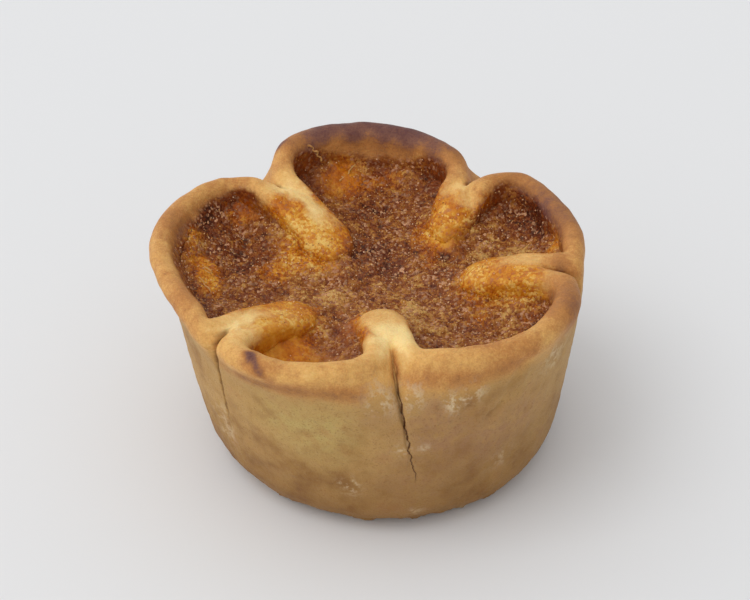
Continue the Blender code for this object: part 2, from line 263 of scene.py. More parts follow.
def alongPleats(places):
    # for the nearest pleat: the share of the way in from its notch, the distance from its middle line,
    # and how sugared it is
    nearest = np.full(len(places), 1e3)
    share, sugared = np.zeros(len(places)), np.zeros(len(places))
    for fold in pleats.values():
        notch, nose = np.array(fold["notch"]), np.array(fold["nose"])
        run = nose - notch
        t = ((places[:, :2] - notch) @ run) / (run @ run)
        beside = places[:, :2] - notch - np.clip(t, 0, 1)[:, None] * run
        far = np.linalg.norm(beside, axis=1)
        left = beside @ np.array((-run[1], run[0])) / np.linalg.norm(run)
        flank = np.maximum(ease(left - fold["bare"][0], *sugar["flankEdge"]),
                           ease(-left - fold["bare"][1], *sugar["flankEdge"]))
        covered = np.maximum(flank * ease(t, *sugar["flankStart"]), ease(t - fold["tip"], *sugar["tipEdge"]))
        nearer = far < nearest
        nearest[nearer], share[nearer], sugared[nearer] = far[nearer], t[nearer], covered[nearer]
    return share, nearest, sugared


# The crust, in mm. Each kind of lumps has an amount and a size, and two numbers for an edge say where it
# starts and ends. Marks are where the dough is toasted, creamy, paler with painted light, darker in bands,
# bare of sugar, floured, green, rosy, flaky, creased or pitted: x, y, z, reach and strength, or both ends,
# reach and strength.
crust = {
    "levels": 2, "quadAngle": 80, "wallCuts": (3.4, 8.0, 11.0, 14.5, 17.0, 20.0, 22.5, 25.5), "wallTop": 30,
    "pleatTop": {"past": 0.9, "reach": 2.8, "above": 29, "rounds": 30},
    "pressed": (0.22, 9.0), "lipLumps": (0.17, 3.4), "skin": (0.09, 1.7), "plates": (0.17, 1.5),
    "crumbs": (0.06, 0.8), "boiled": (0.14, 1.1), "swollen": (0.26, 2.4), "unevenness": (1.2, 3.0),
    "plateEdge": (0.02, 0.16), "lumpyLip": (24, 32), "nearFilling": (1.5, 5.0), "lipEdge": (29.0, 34.0),
    "pleatSides": (5.0, 6.5), "pleatStart": (0.12, 0.25), "pleatHeight": (27, 29),
    "bareDepth": 1.9, "coatDrift": 1.2, "coatEdge": (-1.1, 1.3), "driftSize": 5.0,
    "ragged": {"height": (0.8, 2.2), "radius": (21.5, 24.0), "frontBy": 20, "reach": 1.1, "lift": 0.9,
               "back": 0.35, "reachLumps": (0.35, 3.2), "liftLumps": (0.1, 4.0)},
    "sheet": {"centre": (-0.5, 0.0), "crestFlat": 0.93, "crestAbove": 29, "crestDepth": (2.5, 6.0),
              "halfWall": 2.0, "blend": 1.5, "facing": 1.3, "innerEdge": (-0.4, 0.5), "lowRadius": 26.5,
              "lowHeight": (31.0, 32.5), "lowFacing": (-0.6, -0.3), "floor": (3.0, 4.0)},
    "crown": {"depth": (1.0, 4.5), "pale": 0.10, "amber": 0.7, "smooth": 0.45},
    "toastLevel": 0.36, "innerToast": {"strength": 0.30, "depth": (0.5, 3.0), "bareFrom": 2.6},
    "toastAndPaintedLight": {
        "back lip": (-2, 33, 37.8, 9, 0.57), "back lip right": (9, 31, 37.4, 8, 0.44),
        "back lip left": (-12, 31, 37, 6, 0.42), "right lip": (24, 18, 36.5, 8, 0.26),
        "right lip outer": (31, 6, 36, 7, 0.26), "front right lip": (18, -26.6, 36.0, 6, 0.06),
        "right end lip": (29.5, -14.5, 36, 7, 0.28), "front lip": (9, -30, 35.0, 5, 0.03),
        "dark spot": (-20.6, -28.4, 36.3, 1.3, 0.55), "dark spot low": (-18.9, -29.9, 35.2, 1.5, 0.60),
        "small spot": (-17.4, 28, 37, 1.2, 0.5),
        "seam of right pleat": (28.4, -3.8, 35.0, 1.7, 0.30), "left lip back": (-27, 21, 36.5, 8, 0.12),
        # painted light: these paler marks lift the back inner face, which falls in shade
        "back inner": (-2.5, 31.0, 34.6, 2.6, -0.34), "back inner left": (-7.0, 30.6, 34.6, 2.6, -0.34),
        "back inner right": (2.0, 30.2, 34.6, 2.6, -0.34),
        "back inner left end": (-11.0, 29.4, 34.8, 2.4, -0.30),
        "back inner right end": (6.0, 27.8, 35.0, 2.4, -0.30),
        "left inner": (-33.5, 6, 34.5, 4.5, 0.22), "left inner front": (-30, -11, 34.5, 4.5, 0.22),
        "right inner": (27, 11.5, 34.8, 4.5, 0.20), "front right inner": (14, -22.5, 33.5, 5, 0.14),
        "left lip outer": (-36, 8, 35.5, 7, 0.12), "left lip front": (-34, -12, 35.5, 5, 0.08),
        "mottle": (-30, -20, 35.8, 2.5, 0.14),
    },
    # darker bands along the front just under the lip, and a darker wedge at the top of the slit
    "darkerBands": {
        "left end": ((-26.0, -22.0, 30.2), (-22.5, -26.8, 31.4), 1.3, 0.16),
        "left": ((-22.5, -26.8, 31.4), (-13.4, -32.0, 32.3), 1.6, 0.30),
        "middle": ((-13.4, -32.0, 32.3), (-4.0, -33.0, 32.1), 1.6, 0.25),
        "right": ((3.8, -29.4, 32.5), (14.5, -29.0, 32.3), 1.5, 0.18),
        "right end": ((14.5, -29.0, 32.3), (23.1, -24.7, 34.2), 1.4, 0.12),
        "wedge": ((1.2, -24.6, 34.2), (1.7, -28.0, 32.4), 0.8, 0.36),
    },
    "cream": {
        "front pleat": (1.0, -22.5, 35.4, 4.2, 0.50), "back left pleat": (-17.0, 16.5, 35.6, 4.2, 0.30),
        "front left pleat": (-22.5, -18.4, 35.2, 4.0, 0.26), "right pleat": (23.0, -1.0, 35.4, 3.6, 0.10),
        "back right pleat": (13.2, 16.6, 35.4, 2.6, 0.20), "back left nose": (-11.5, 12.0, 34, 3.5, 0.22),
    },
    "bare": {
        "back": (-1, 31, 34.0, 8, 2.7), "back pocket": (-15.6, 25.6, 35.0, 3.2, -1.0),
        "back right": (10.5, 24.3, 35.0, 3.2, -0.8), "left": (-35, 6, 34, 7, 0.4),
        "left pocket": (-23.6, 17.0, 34.0, 3.6, -1.5), "right corner": (18.8, 17.8, 34.6, 3.4, -1.4),
        "right wall": (26, 15, 35, 3.0, -0.5),
    },
    "flour": {
        "low front": (-5.9, -30.7, 11.6, 1.4, 0.9), "by slit": (2.6, -32.0, 20.4, 1.2, 0.9),
        "right of slit": (6.2, -31.4, 20.5, 1.1, 0.8), "left low": (-25.6, -18.8, 12.3, 1.9, 0.9),
        "flake": (10.7, -30.8, 28.9, 1.8, 1.3), "above slit": (3.8, -31.6, 30.6, 2.2, 0.8),
        "upper slit left": (-0.8, -32.2, 30.8, 2.4, 0.8), "right high": (14.3, -29.6, 30.5, 2.0, 0.7),
        "left seam": (-26.6, -19.8, 17, 2.4, 0.6), "right shoulder": (27.1, -18.9, 29.4, 3.2, 0.8),
        "low middle": (4.4, -29.6, 4.7, 1.4, 0.6), "edge": (12, -24, 1.5, 1.8, 0.8),
        "low right": (19, -25, 12, 2.0, 0.5),
    },
    "green": {
        "left": (-15.6, -29.5, 24.0, 5, 0.9), "middle": (-8.5, -32.2, 25.0, 5, 0.9),
        "low": (-11, -31, 19, 4, 0.5),
    },
    "rosy": {
        "right of slit": (8, -31, 24, 6, 0.9), "right": (16, -28, 18, 7, 0.8), "low": (4, -31, 13, 6, 0.6),
        "far right": (23, -23, 20, 6, 0.5), "left of slit": (-1.5, -32.5, 28, 3.5, 0.5),
    },
    "flaky": {
        "right of slit": (12, -29.8, 26.5, 6.5, 1.0), "left foot": (-27, -16.5, 14, 6, 1.0),
        "far right": (22, -23.5, 25, 7, 0.8), "low right": (16, -26, 8, 7, 0.8), "slit": (2, -32, 24, 4, 0.6),
    },
    "creases": {
        "right shoulder": ((21.6, -25.6, 33.0), (19.0, -26.7, 28.3), 0.8, 0.34),
        "right shoulder low": ((19.0, -26.7, 28.3), (17.1, -27.3, 23.6), 0.7, 0.28),
    },
    "pits": {
        "pit": (16.4, -27.9, 24.1, 0.8, 0.9), "pit side": (17.6, -27.2, 25.0, 0.6, 0.6),
        "chip": (13.0, -30.0, 27.6, 0.7, 0.6), "chip low": (5.4, -31.8, 17.6, 0.7, 0.45),
        "flake": (8.6, -31.5, 28.4, 1.0, 0.45), "dimple": (-6.5, -32.3, 27.5, 1.6, 0.25),
        "groove": (19.5, -25.6, 27.0, 0.9, 0.4), "nick": (22.5, -22.8, 21.0, 0.6, 0.4),
    },
}


def crustLumps(places, kind, seed, octaves=2):
    amount, size = crust[kind]
    return amount * lumps(places, size, seed, octaves)


def refineSheet(piece):
    bpy.ops.object.mode_set(mode="EDIT")
    bpy.ops.mesh.select_all(action="SELECT")
    angle = math.radians(crust["quadAngle"])
    bpy.ops.mesh.tris_convert_to_quads(face_threshold=angle, shape_threshold=angle)
    bpy.ops.object.mode_set(mode="OBJECT")
    # more rows round the outside wall, so that its small marks have points to sit on
    for height in crust["wallCuts"]:
        for face in piece.data.polygons:
            middle, out = face.center / mm, face.normal
            outwards = out.x * middle.x + out.y * middle.y
            face.select = middle.z < crust["wallTop"] and out.z < 0.3 and outwards > 5
        bpy.ops.object.mode_set(mode="EDIT")
        bpy.ops.mesh.select_mode(type="FACE")
        bpy.ops.mesh.bisect(plane_co=(0, 0, height * mm), plane_no=(0, 0, 1))
        bpy.ops.object.mode_set(mode="OBJECT")
    smooth = piece.modifiers.new("finer sheet", "SUBSURF")
    smooth.levels = smooth.render_levels = crust["levels"]
    applyModifiers(piece)


def settlePleats(piece):
    # the fold's end settles into the top of each pleat
    soft = crust["pleatTop"]
    places = points(piece)
    settled = piece.vertex_groups.new(name="pleatTops")
    for fold in pleats.values():
        notch, nose = np.array(fold["notch"]), np.array(fold["nose"])
        middle = notch + (nose - notch) / np.linalg.norm(nose - notch) * (fold["seam"] + soft["past"])
        weights = np.exp(-(((places[:, :2] - middle) / soft["reach"]) ** 2).sum(1))
        weights *= places[:, 2] > soft["above"]
        for i in np.flatnonzero(weights > 0.02):
            settled.add([int(i)], float(weights[i]), "ADD")
    relax = piece.modifiers.new("settled pleats", "SMOOTH")
    relax.vertex_group, relax.factor, relax.iterations = settled.name, 0.5, soft["rounds"]
    applyModifiers(piece)


def ragFoot(places):
    # the bottom edge is thin and ragged where the dough met the tin, and most of all at the front
    ragged = crust["ragged"]
    reach = np.linalg.norm(places[:, :2], axis=1)
    edge = (1 - ease(places[:, 2], *ragged["height"])) * ease(reach, *ragged["radius"])
    front = ragged["back"] + (1 - ragged["back"]) * ease(-places[:, 1], 0, ragged["frontBy"])
    flat = places * (1, 1, 0.1)
    (out, outSize), (up, upSize) = ragged["reachLumps"], ragged["liftLumps"]
    push = ragged["reach"] * edge * front * (out + lumps(flat, outSize, 7, 4))
    places[:, :2] *= (1 + push / np.maximum(reach, 1))[:, None]
    places[:, 2] += ragged["lift"] * edge * front * np.clip(up + lumps(flat, upSize, 8, 3), 0, 1)
    places[:, 2] = np.maximum(places[:, 2], 0.0)


def makeCrust():
    piece = copyOfSolid("pastry_cup", "bakedCrust")
    refineSheet(piece)
    print("crust skin:", len(piece.data.vertices), "points")
    settlePleats(piece)

    # where the sheet's inner face, its pleats, its sugared parts and its outside are
    places, out = points(piece), normals(piece)
    uneven = bent(places, *crust["unevenness"], 20)
    drift = lumps(places, crust["driftSize"], 6)
    inward, depth = insideAndDepth(places, out)
    share, aside, sugared = alongPleats(uneven)
    onPleat = (1 - ease(aside, *crust["pleatSides"])) * ease(share, *crust["pleatStart"])
    onPleat *= ease(places[:, 2], *crust["pleatHeight"])
    inward = np.maximum(inward, onPleat)
    bare = crust["bareDepth"] + spots(places, crust["bare"])
    coat = ease(depth + drift * crust["coatDrift"] - bare, *crust["coatEdge"])
    coat = inward * np.maximum(coat, onPleat * sugared)
    outside = (1 - inward) * (1 - ease(places[:, 2] + drift, *crust["lipEdge"]))

    # soft unevenness of hand-pressed dough, a lumpier lip, flakes outside and boiled sugar inside
    places += out * crustLumps(places, "pressed", 1)[:, None]
    places += out * (crustLumps(places, "lipLumps", 2) * ease(places[:, 2], *crust["lumpyLip"]))[:, None]
    flaky = np.minimum(spots(uneven, crust["flaky"]), 1) * (1 - inward)
    thick, size = crust["plates"]
    plates = ease(lumps(places, size, 3, 3), *crust["plateEdge"]) * thick + crustLumps(places, "crumbs", 9, 3)
    places += out * (crustLumps(places, "skin", 4, 4) * outside + plates * flaky)[:, None]
    near = 1 - ease(places[:, 2] - cup["fillingHeight"], *crust["nearFilling"])
    high, size = crust["swollen"]
    swollen = high * near * lumps(places, size, 10)
    places += out * (coat * (crustLumps(places, "boiled", 5, 3) + swollen))[:, None]
    places -= out * bands(places, crust["creases"])[:, None]
    for x, y, z, reach, amount in crust["pits"].values():
        far = ((places - (x, y, z)) ** 2).sum(1)
        places -= out * (amount * np.exp(-far / reach ** 2))[:, None]
    ragFoot(places)
    movePoints(piece, np.clip(places, np.array(cadBox[0]) / mm, np.array(cadBox[1]) / mm))

    # what the material reads
    inner, crown = crust["innerToast"], crust["crown"]
    # toasting of the dough, with paler marks of painted light on the back inner face
    toastAndPaintedLight = crust["toastLevel"] + spots(uneven, crust["toastAndPaintedLight"]) - spots(uneven, crust["cream"])
    toastAndPaintedLight += bands(places, crust["darkerBands"])
    unsugared = (inner["bareFrom"] - bare).clip(0, 1)
    toastAndPaintedLight += inner["strength"] * inward * ease(depth, *inner["depth"]) * (1 - onPleat) * unsugared
    tone, amber, smoothed = sugarLook(places)
    onCrown = onPleat * (1 - ease(depth, *crown["depth"]))
    layers = {
        "coat": coat, "tone": tone - crown["pale"] * onCrown, "amber": amber + crown["amber"] * onCrown,
        "smooth": np.maximum(smoothed, crown["smooth"] * onCrown), "toastAndPaintedLight": toastAndPaintedLight, "wall": outside,
        "outside": (1 - inward) * (1 - coat),
    }
    for name in ("green", "rosy", "flour"):
        layers[name] = spots(uneven, crust[name])
    for name, values in layers.items():
        paint(piece, name, values)
    piece.data.shade_smooth()
    return piece


def insideAndDepth(places, out):
    # 1 on the inner face of the sheet and 0 on the outer, and the depth below the nearest crest
    sheet = crust["sheet"]
    tops = np.flatnonzero((out[:, 2] > sheet["crestFlat"]) & (places[:, 2] > sheet["crestAbove"]))
    crest, _ = nearestOnPlan(places, tops)
    depth = places[crest, 2] - places[:, 2]
    centre = np.array(sheet["centre"])
    away = places[:, :2] - centre
    reach = np.linalg.norm(away, axis=1)
    crestReach = np.linalg.norm(places[crest, :2] - centre, axis=1)
    outwards = (out[:, :2] * away).sum(1) / np.maximum(reach, 1)
    # the two faces part at the crest near the top, and in the middle of the wall further down
    upper = 1 - ease(depth, *sheet["crestDepth"])
    split = crestReach * upper + (cup["wallRadius"] - sheet["halfWall"]) * (1 - upper)
    inward = ease((split - reach) / sheet["blend"] - sheet["facing"] * outwards, *sheet["innerEdge"])
    # low on the wall only a face that looks inwards is inside, and nothing is at the floor
    low = (reach > sheet["lowRadius"]) * (1 - ease(places[:, 2], *sheet["lowHeight"]))
    inward *= 1 - low * ease(outwards, *sheet["lowFacing"])
    inward *= ease(places[:, 2], *sheet["floor"])
    return inward, depth


# The filling, whose rim has boiled up against the crust, in mm. Its swells, bubbles and drift each have an
# amount and a size, and its hole an x, a y, a reach and a depth.
filling = {
    "voxel": 0.40, "settle": 6, "swell": 0.5, "rimSwell": 1.5, "rimReach": 1.2, "rise": 1.3, "riseReach": 1.4,
    "riseDrift": (0.8, 3.0), "upper": (24, 28), "topAbove": 24, "rimAbove": 26, "floor": 5.0,
    "sideFacing": (0.3, 0.8), "topFacing": (0.2, 0.7), "rimFacing": 0.45,
    "swells": (0.48, 3.0), "bubbles": (0.38, 1.2), "swellPale": 0.10, "bubblePale": 0.22,
    "hole": (10.6, 7.4, 1.0, 1.3),
}


def makeFilling():
    piece = copyOfSolid("sugar_filling", "sugarFilling")
    # even small faces all over, settled smooth, then swollen into the crust so that no gap shows
    piece.data.remesh_voxel_size = filling["voxel"] * mm
    bpy.ops.object.voxel_remesh()
    relax = piece.modifiers.new("settled top", "SMOOTH")
    relax.factor, relax.iterations = 0.5, filling["settle"]
    applyModifiers(piece)
    places, out = points(piece), normals(piece)
    side = 1 - ease(out[:, 2], *filling["sideFacing"])
    top = ease(out[:, 2], *filling["topFacing"]) * (places[:, 2] > filling["topAbove"])
    rim = np.flatnonzero((out[:, 2] < filling["rimFacing"]) & (places[:, 2] > filling["rimAbove"]))
    nearest, far = nearestOnPlan(places, rim)
    upper = ease(places[:, 2], *filling["upper"])
    outwards = out[nearest, :2] / np.maximum(np.linalg.norm(out[nearest, :2], axis=1), 0.1)[:, None]

    # the rim climbs on the crust and pushes into it, and the sides swell as well
    drift, size = filling["riseDrift"]
    climb = upper * filling["rise"] * np.exp(-far / filling["riseReach"])
    places[:, 2] += climb * (1 + drift * lumps(places, size, 14))
    places += out * (filling["swell"] * side * (1 - upper))[:, None]
    push = filling["rimSwell"] * upper * np.exp(-(far / filling["rimReach"]) ** 2)
    places[:, :2] += outwards * push[:, None]
    places[:, 2] = np.maximum(places[:, 2], filling["floor"])

    # the top's swells, bubbles and hole
    (swellHeight, swellSize), (bubbleHeight, bubbleSize) = filling["swells"], filling["bubbles"]
    swells, bubbles = lumps(places, swellSize, 12), lumps(places, bubbleSize, 13, 3)
    places[:, 2] += top * (swellHeight * swells + bubbleHeight * bubbles)
    x, y, reach, depth = filling["hole"]
    fromHole = (places[:, 0] - x) ** 2 + (places[:, 1] - y) ** 2
    places[:, 2] -= top * depth * np.exp(-fromHole / reach ** 2)
    movePoints(piece, places)

    tone, amber, smoothed = sugarLook(places)
    paler = filling["swellPale"] * swells + filling["bubblePale"] * bubbles
    paint(piece, "tone", tone - paler * (1 - smoothed))
    paint(piece, "amber", amber)
    paint(piece, "smooth", smoothed)
    piece.data.shade_smooth()
    print("filling skin:", len(piece.data.vertices), "points")
    return piece


# Colours are linear. Each run goes from the palest to the most roasted.
finish = {
    "dough": ((0.00, (0.90, 0.66, 0.28)), (0.30, (0.73, 0.41, 0.128)), (0.52, (0.49, 0.212, 0.060)),
              (0.66, (0.36, 0.148, 0.046)), (0.82, (0.205, 0.084, 0.056)), (1.00, (0.11, 0.038, 0.038))),
    "wall": ((0.20, (0.32, 0.158, 0.046)), (0.42, (0.43, 0.242, 0.078)), (0.60, (0.49, 0.290, 0.100)),
             (0.80, (0.46, 0.246, 0.088))),
    # painted shade that darkens and warms the foot of the outside wall
    "wallFootShade": (0.62, 0.53, 0.44),
    "green": (0.50, 0.35, 0.12),
    "rosy": (0.37, 0.192, 0.088),
    "pore": (0.26, 0.12, 0.035),
    "flour": (0.70, 0.55, 0.35),
    # painted shade in the gaps of the seams
    "crackShade": (0.11, 0.040, 0.014),
    "brown": ((0.06, (0.60, 0.34, 0.105)), (0.28, (0.41, 0.165, 0.034)), (0.48, (0.25, 0.068, 0.010)),
              (0.70, (0.165, 0.034, 0.009)), (1.00, (0.045, 0.007, 0.004))),
    "golden": ((0.05, (0.80, 0.50, 0.130)), (0.25, (0.66, 0.28, 0.022)), (0.50, (0.50, 0.138, 0.003)),
               (0.75, (0.27, 0.050, 0.002)), (1.00, (0.09, 0.015, 0.003))),
    # pale sugar crystals and painted glints of light on the sugar
    "crystalsAndGlints": (0.62, 0.32, 0.17),
    "foam": ((0.3, (0.42, 0.17, 0.03)), (0.7, (0.70, 0.40, 0.14))),
    "sheen": (1.0, 0.78, 0.55, 1),
}


def startMaterial(name):
    made = bpy.data.materials.new(name)
    made.use_nodes = True
    return made, made.node_tree, made.node_tree.nodes["Principled BSDF"]


def put(tree, kind, **values):
    # a node with its settings, and with inputs given by name as values or as links
    made = tree.nodes.new(kind)
    for name, value in values.items():
        if hasattr(made, name):
            setattr(made, name, value)
            continue
        socket = made.inputs[name]
        if isinstance(value, bpy.types.NodeSocket):
            tree.links.new(value, socket)
        else:
            socket.default_value = value
    return made


def calc(tree, operation, a, b=0.0, clamp=False):
    made = tree.nodes.new("ShaderNodeMath")
    made.operation, made.use_clamp = operation, clamp
    for socket, value in zip(made.inputs, (a, b)):
        if isinstance(value, bpy.types.NodeSocket):
            tree.links.new(value, socket)
        else:
            socket.default_value = value
    return made.outputs[0]


def blendColours(tree, below, above, share, mode="MIX"):
    made = tree.nodes.new("ShaderNodeMix")
    made.data_type, made.blend_type = "RGBA", mode
    for socket, value in zip((made.inputs[0], made.inputs[6], made.inputs[7]), (share, below, above)):
        if isinstance(value, bpy.types.NodeSocket):
            tree.links.new(value, socket)
        else:
            socket.default_value = (*value, 1) if isinstance(value, tuple) else value
    return made.outputs[2]


def colourRun(tree, value, stops):
    made = tree.nodes.new("ShaderNodeValToRGB")
    made.color_ramp.elements[0].position = stops[0][0]
    made.color_ramp.elements[1].position = stops[-1][0]
    for place, _ in stops[1:-1]:
        made.color_ramp.elements.new(place)
    for element, (_, colour) in zip(made.color_ramp.elements, stops):
        element.color = (*colour, 1)
    tree.links.new(value, made.inputs[0])
    return made.outputs[0]


def cloud(tree, where, size, detail=3.0, seed=0.0):
    # noise from 0 to 1 whose lumps are about this many mm across
    moved = put(tree, "ShaderNodeMapping", Vector=where, Location=(seed, seed * 0.7, seed * 1.3))
    return put(tree, "ShaderNodeTexNoise", Vector=moved.outputs[0], Scale=1 / (size * mm), Detail=detail,
               Roughness=0.6).outputs[0]


def cells(tree, where, size):
    return put(tree, "ShaderNodeTexVoronoi", Vector=where, Scale=1 / (size * mm))


def spread(tree, value, low, high):
    return put(tree, "ShaderNodeMapRange", Value=value, **{"From Min": low, "From Max": high}).outputs[0]


def attribute(tree, name):
    return put(tree, "ShaderNodeAttribute", attribute_name=name).outputs["Fac"]


def wobble(tree, value, pattern, amount):
    # the value moved up and down by a pattern round its middle
    return calc(tree, "ADD", value, calc(tree, "MULTIPLY", calc(tree, "SUBTRACT", pattern, 0.5), amount))


def mottled(tree, value, patterns, amounts):
    # the value moved by each named pattern in turn
    for name, amount in amounts.items():
        value = wobble(tree, value, patterns[name], amount)
    return value


# The sugar's patterns: sizes in mm, how far each one moves its brownness and its amber, where the amber,
# the pale crystals with their painted glints and their patches start and end, and how strong these are.
syrup = {
    "medium": 3.0, "small": 0.9, "crystal": 0.46, "patch": 3.2, "smoothing": 0.85,
    "brown": {"medium": 0.82, "small": 0.56, "crystal": 0.54}, "amber": {"medium": 0.8, "small": 0.6},
    "amberEdge": (0.25, 0.75), "sparkle": (0.74, 0.92), "patchEdge": (0.36, 0.62),
    "crystalsAndGlints": 0.95, "crystalsAndGlintsLostOnAmber": 0.45,
}


def sugarCoat(tree, where):
    # browned sugar: its colour and its relief
    crystals = cells(tree, where, syrup["crystal"])
    medium, small = cloud(tree, where, syrup["medium"], 4), cloud(tree, where, syrup["small"], 3, 0.4)
    shade = put(tree, "ShaderNodeSeparateColor", Color=crystals.outputs["Color"]).outputs[0]
    smoothed = calc(tree, "MULTIPLY", attribute(tree, "smooth"), syrup["smoothing"])
    grainy = calc(tree, "SUBTRACT", 1.0, smoothed, True)
    tone = wobble(tree, attribute(tree, "tone"), medium, syrup["brown"]["medium"])
    for pattern, amount in ((small, syrup["brown"]["small"]), (shade, syrup["brown"]["crystal"])):
        tone = wobble(tree, tone, pattern, calc(tree, "MULTIPLY", grainy, amount))
    amber = mottled(tree, attribute(tree, "amber"), {"medium": medium, "small": small}, syrup["amber"])
    amber = spread(tree, amber, *syrup["amberEdge"])
    brown, golden = (colourRun(tree, tone, finish[name]) for name in ("brown", "golden"))
    colour = blendColours(tree, brown, golden, amber)
    # paler crystals and painted glints in patches, fewer of them on amber and smooth sugar
    sparkle = spread(tree, wobble(tree, shade, small, 0.35), *syrup["sparkle"])
    patches = spread(tree, cloud(tree, where, syrup["patch"], 3, 3.1), *syrup["patchEdge"])
    lost = calc(tree, "MULTIPLY", amber, syrup["crystalsAndGlintsLostOnAmber"])
    strength = calc(tree, "SUBTRACT", syrup["crystalsAndGlints"], lost)
    strength = calc(tree, "MULTIPLY", wobble(tree, patches, small, 0.5), strength)
    strength = calc(tree, "MULTIPLY", strength, grainy)
    colour = blendColours(tree, colour, finish["crystalsAndGlints"], calc(tree, "MULTIPLY", sparkle, strength, True))
    relief = calc(tree, "ADD", small, calc(tree, "SUBTRACT", 0.9, crystals.outputs["Distance"]))
    return colour, calc(tree, "MULTIPLY", relief, grainy)


# The slit at the front pleat and the fainter creases at the others, painted dark as shade in their gaps, in mm:
# the height of the foot, and the widths there and at the top. The slit fades out between two heights. Waves
# have an amount and a size.
cracks = {
    "slit": (13.0, (0.10, 0.17)), "slitFades": (34, 30), "crease": (17.0, (0.2, 0.4)), "faint": 0.5,
    "widest": 33, "waves": (1.5, 2.6), "creased": ("frontLeft", "right", "backRight", "backLeft"),
}


def seamCrack(tree, where, fold, foot, widths):
    # 1 along a pleat's outside seam and 0 beside it: wavy, and thinner towards its foot
    x, y, z = put(tree, "ShaderNodeSeparateXYZ", Vector=where).outputs
    turned = spread(tree, z, cup["rimHeight"] * mm, (cup["rimHeight"] - cup["seamDrop"]) * mm)
    bearing = calc(tree, "ARCTAN2", y, calc(tree, "SUBTRACT", x, cup["lean"] * mm))
    start = math.atan2(fold["notch"][1], fold["notch"][0] + 0.5)
    turn = calc(tree, "MULTIPLY", turned, math.radians(fold["turn"]))
    apart = calc(tree, "SUBTRACT", calc(tree, "SUBTRACT", bearing, start), turn)
    amount, size = cracks["waves"]
    wave = put(tree, "ShaderNodeTexNoise", noise_dimensions="1D", W=z, Scale=1 / (size * mm), Detail=3.0)
    aside = wobble(tree, calc(tree, "MULTIPLY", apart, cup["wallRadius"]), wave.outputs[0], amount)
    far = calc(tree, "ABSOLUTE", aside)
    heights = {"From Min": foot * mm, "From Max": cracks["widest"] * mm}
    width = put(tree, "ShaderNodeMapRange", Value=z, **heights, **{"To Min": widths[0], "To Max": widths[1]})
    line = calc(tree, "SUBTRACT", 1.25, calc(tree, "DIVIDE", far, width.outputs[0]), True)
    line = calc(tree, "MULTIPLY", line, spread(tree, z, (foot - 1) * mm, (foot + 2) * mm))
    return calc(tree, "MULTIPLY", line, attribute(tree, "outside"))


# The pastry's patterns. Each cloud has a size in mm, a detail and a seed, and moves the dough's tone, the
# wall's tone and the sugar's edge by the amounts given. Two numbers for an edge say where it starts and ends.
pastry = {
    "clouds": {"broad": (9, 3, 0), "medium": (2.4, 4, 0.3), "small": (0.7, 3, 0.9), "fine": (0.28, 2, 1.4),
               "blotches": (5, 3, 2.2)},
    "dough": {"broad": 0.28, "medium": 0.36, "small": 0.20, "fine": 0.26},
    "wall": {"medium": 0.5, "blotches": 0.8, "small": 0.25}, "coat": {"medium": 0.6, "small": 0.5},
    "greenEdge": (0.25, 0.6), "rosyEdge": (0.2, 0.6), "footShadeHeight": (20, 4), "footShadeDrift": 8,
    "poreEdge": (0.55, 0.78), "poreStrength": 0.65, "toastEdge": (0.42, 0.74),
    "flourEdge": (0.46, 0.64), "flourStrength": 0.8, "coatEdge": (0.12, 0.80),
    "roughness": 0.48, "roughDrift": 0.22, "coatGloss": 0.24, "bump": 0.6, "bumpHeight": 0.25,
    "fineRelief": 0.5, "smallRelief": 0.9, "slitRelief": 2.5,
    "sockets": {"Subsurface Weight": 0.2, "Subsurface Radius": (1.0, 0.45, 0.18),
                "Subsurface Scale": 1.6 * mm, "Specular IOR Level": 0.35, "Specular Tint": finish["sheen"]},
}


